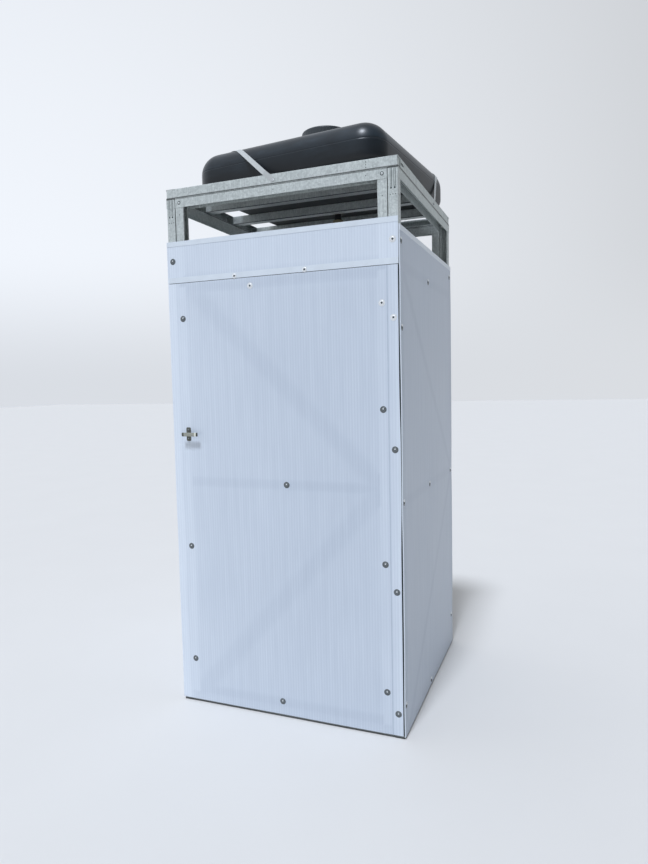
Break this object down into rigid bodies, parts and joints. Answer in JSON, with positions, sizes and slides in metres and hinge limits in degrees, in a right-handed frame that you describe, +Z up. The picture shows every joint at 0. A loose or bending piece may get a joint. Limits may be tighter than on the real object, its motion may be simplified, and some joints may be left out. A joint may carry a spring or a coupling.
{
  "type": "outdoor shower cabin",
  "caption": "Outdoor shower cabin: steel channel frame clad in pale plastic sheets, a door hung on its sheet's fold, a turn latch, and a flat roof tank feeding a shower rose.",
  "frame": {"origin": "middle of the base, on the floor, midway between the corner posts", "axes": "+Z up, -Y out of the door side, +X to the right of someone facing the door"},
  "size_m": [1.0136, 1.0368, 2.525],
  "materials": {
    "galvanised_steel": "zinc-coated, matt",
    "strap_steel": "zinc-coated band",
    "wall_sheet": "satin, fine flutes",
    "edge_trim": "satin white",
    "tank_plastic": "moulded, satin",
    "lid_plastic": "moulded, satin",
    "seal_rubber": "matt",
    "fitting_plastic": "moulded, satin",
    "valve_brass": "cast, nickel washed",
    "chrome": "polished",
    "lever_paint": "coated",
    "latch_metal": "satin",
    "screw_steel": "zinc-plated"
  },
  "bodies": {
    "cabin": {"frame_rivets": "screw_steel", "front_left_strap": "strap_steel", "front_threshold": "galvanised_steel", "header_bottom_rail": "galvanised_steel", "header_sheet": "wall_sheet", "header_studs": "galvanised_steel", "header_top_track": "galvanised_steel", "hinge_strip": "wall_sheet", "left_bottom_track": "galvanised_steel", "left_braces": "galvanised_steel", "left_front_post": "galvanised_steel", "left_girts": "galvanised_steel", "left_rear_post": "galvanised_steel", "left_sheet": "wall_sheet", "left_top_track": "galvanised_steel", "outlet_fitting": "fitting_plastic", "outlet_nut": "fitting_plastic", "outlet_seal": "seal_rubber", "rear_bottom_track": "galvanised_steel", "rear_braces": "galvanised_steel", "rear_girts": "galvanised_steel", "rear_right_strap": "strap_steel", "rear_sheet": "wall_sheet", "rear_studs": "galvanised_steel", "rear_top_track": "galvanised_steel", "right_bottom_track": "galvanised_steel", "right_braces": "galvanised_steel", "right_front_post": "galvanised_steel", "right_girts": "galvanised_steel", "right_rear_post": "galvanised_steel", "right_sheet": "wall_sheet", "right_top_track": "galvanised_steel", "roof_front_rail": "galvanised_steel", "roof_joists": "galvanised_steel", "roof_rear_rail": "galvanised_steel", "roof_side_rails": "galvanised_steel", "sheet_edge_trims": "edge_trim", "shower_rose": "chrome", "strap_screws": "screw_steel", "tank_neck": "tank_plastic", "tank_shell": "tank_plastic", "valve_body": "valve_brass", "wall_sheet_screws": "screw_steel"},
    "door": {"door_top_rail": "galvanised_steel", "door_bottom_rail": "galvanised_steel", "door_lock_stile": "galvanised_steel", "door_hinge_stile": "galvanised_steel", "door_mid_rail": "galvanised_steel", "door_braces": "galvanised_steel", "door_sheet": "wall_sheet", "latch_plate": "latch_metal", "door_sheet_screws": "screw_steel", "door_frame_rivets": "screw_steel"},
    "latch": {"latch_handle": "latch_metal", "latch_tongue": "galvanised_steel", "latch_nut": "screw_steel"},
    "lid": {"tank_lid": "lid_plastic", "lid_seal": "seal_rubber"},
    "valve_handle": {"valve_lever": "lever_paint", "valve_ball": "chrome"}
  },
  "joints": [
    {"name": "door_swing", "type": "hinge", "parent": "cabin", "child": "door", "pos_m": [0.454, -0.504, 0.9], "axis": [0, 0, 1], "range_deg": [0, 105]},
    {"name": "latch_turn", "type": "hinge", "parent": "door", "child": "latch", "pos_m": [-0.43, -0.506, 1.182], "axis": [0, 1, 0], "range_deg": [0, 90]},
    {"name": "lid_lift", "type": "slide", "parent": "cabin", "child": "lid", "axis": [0, 0, 1], "range_m": [0, 0.12]},
    {"name": "valve_turn", "type": "hinge", "parent": "cabin", "child": "valve_handle", "pos_m": [0.031, 0.144, 2.12], "axis": [0, 1, 0], "range_deg": [0, 90]}
  ]
}
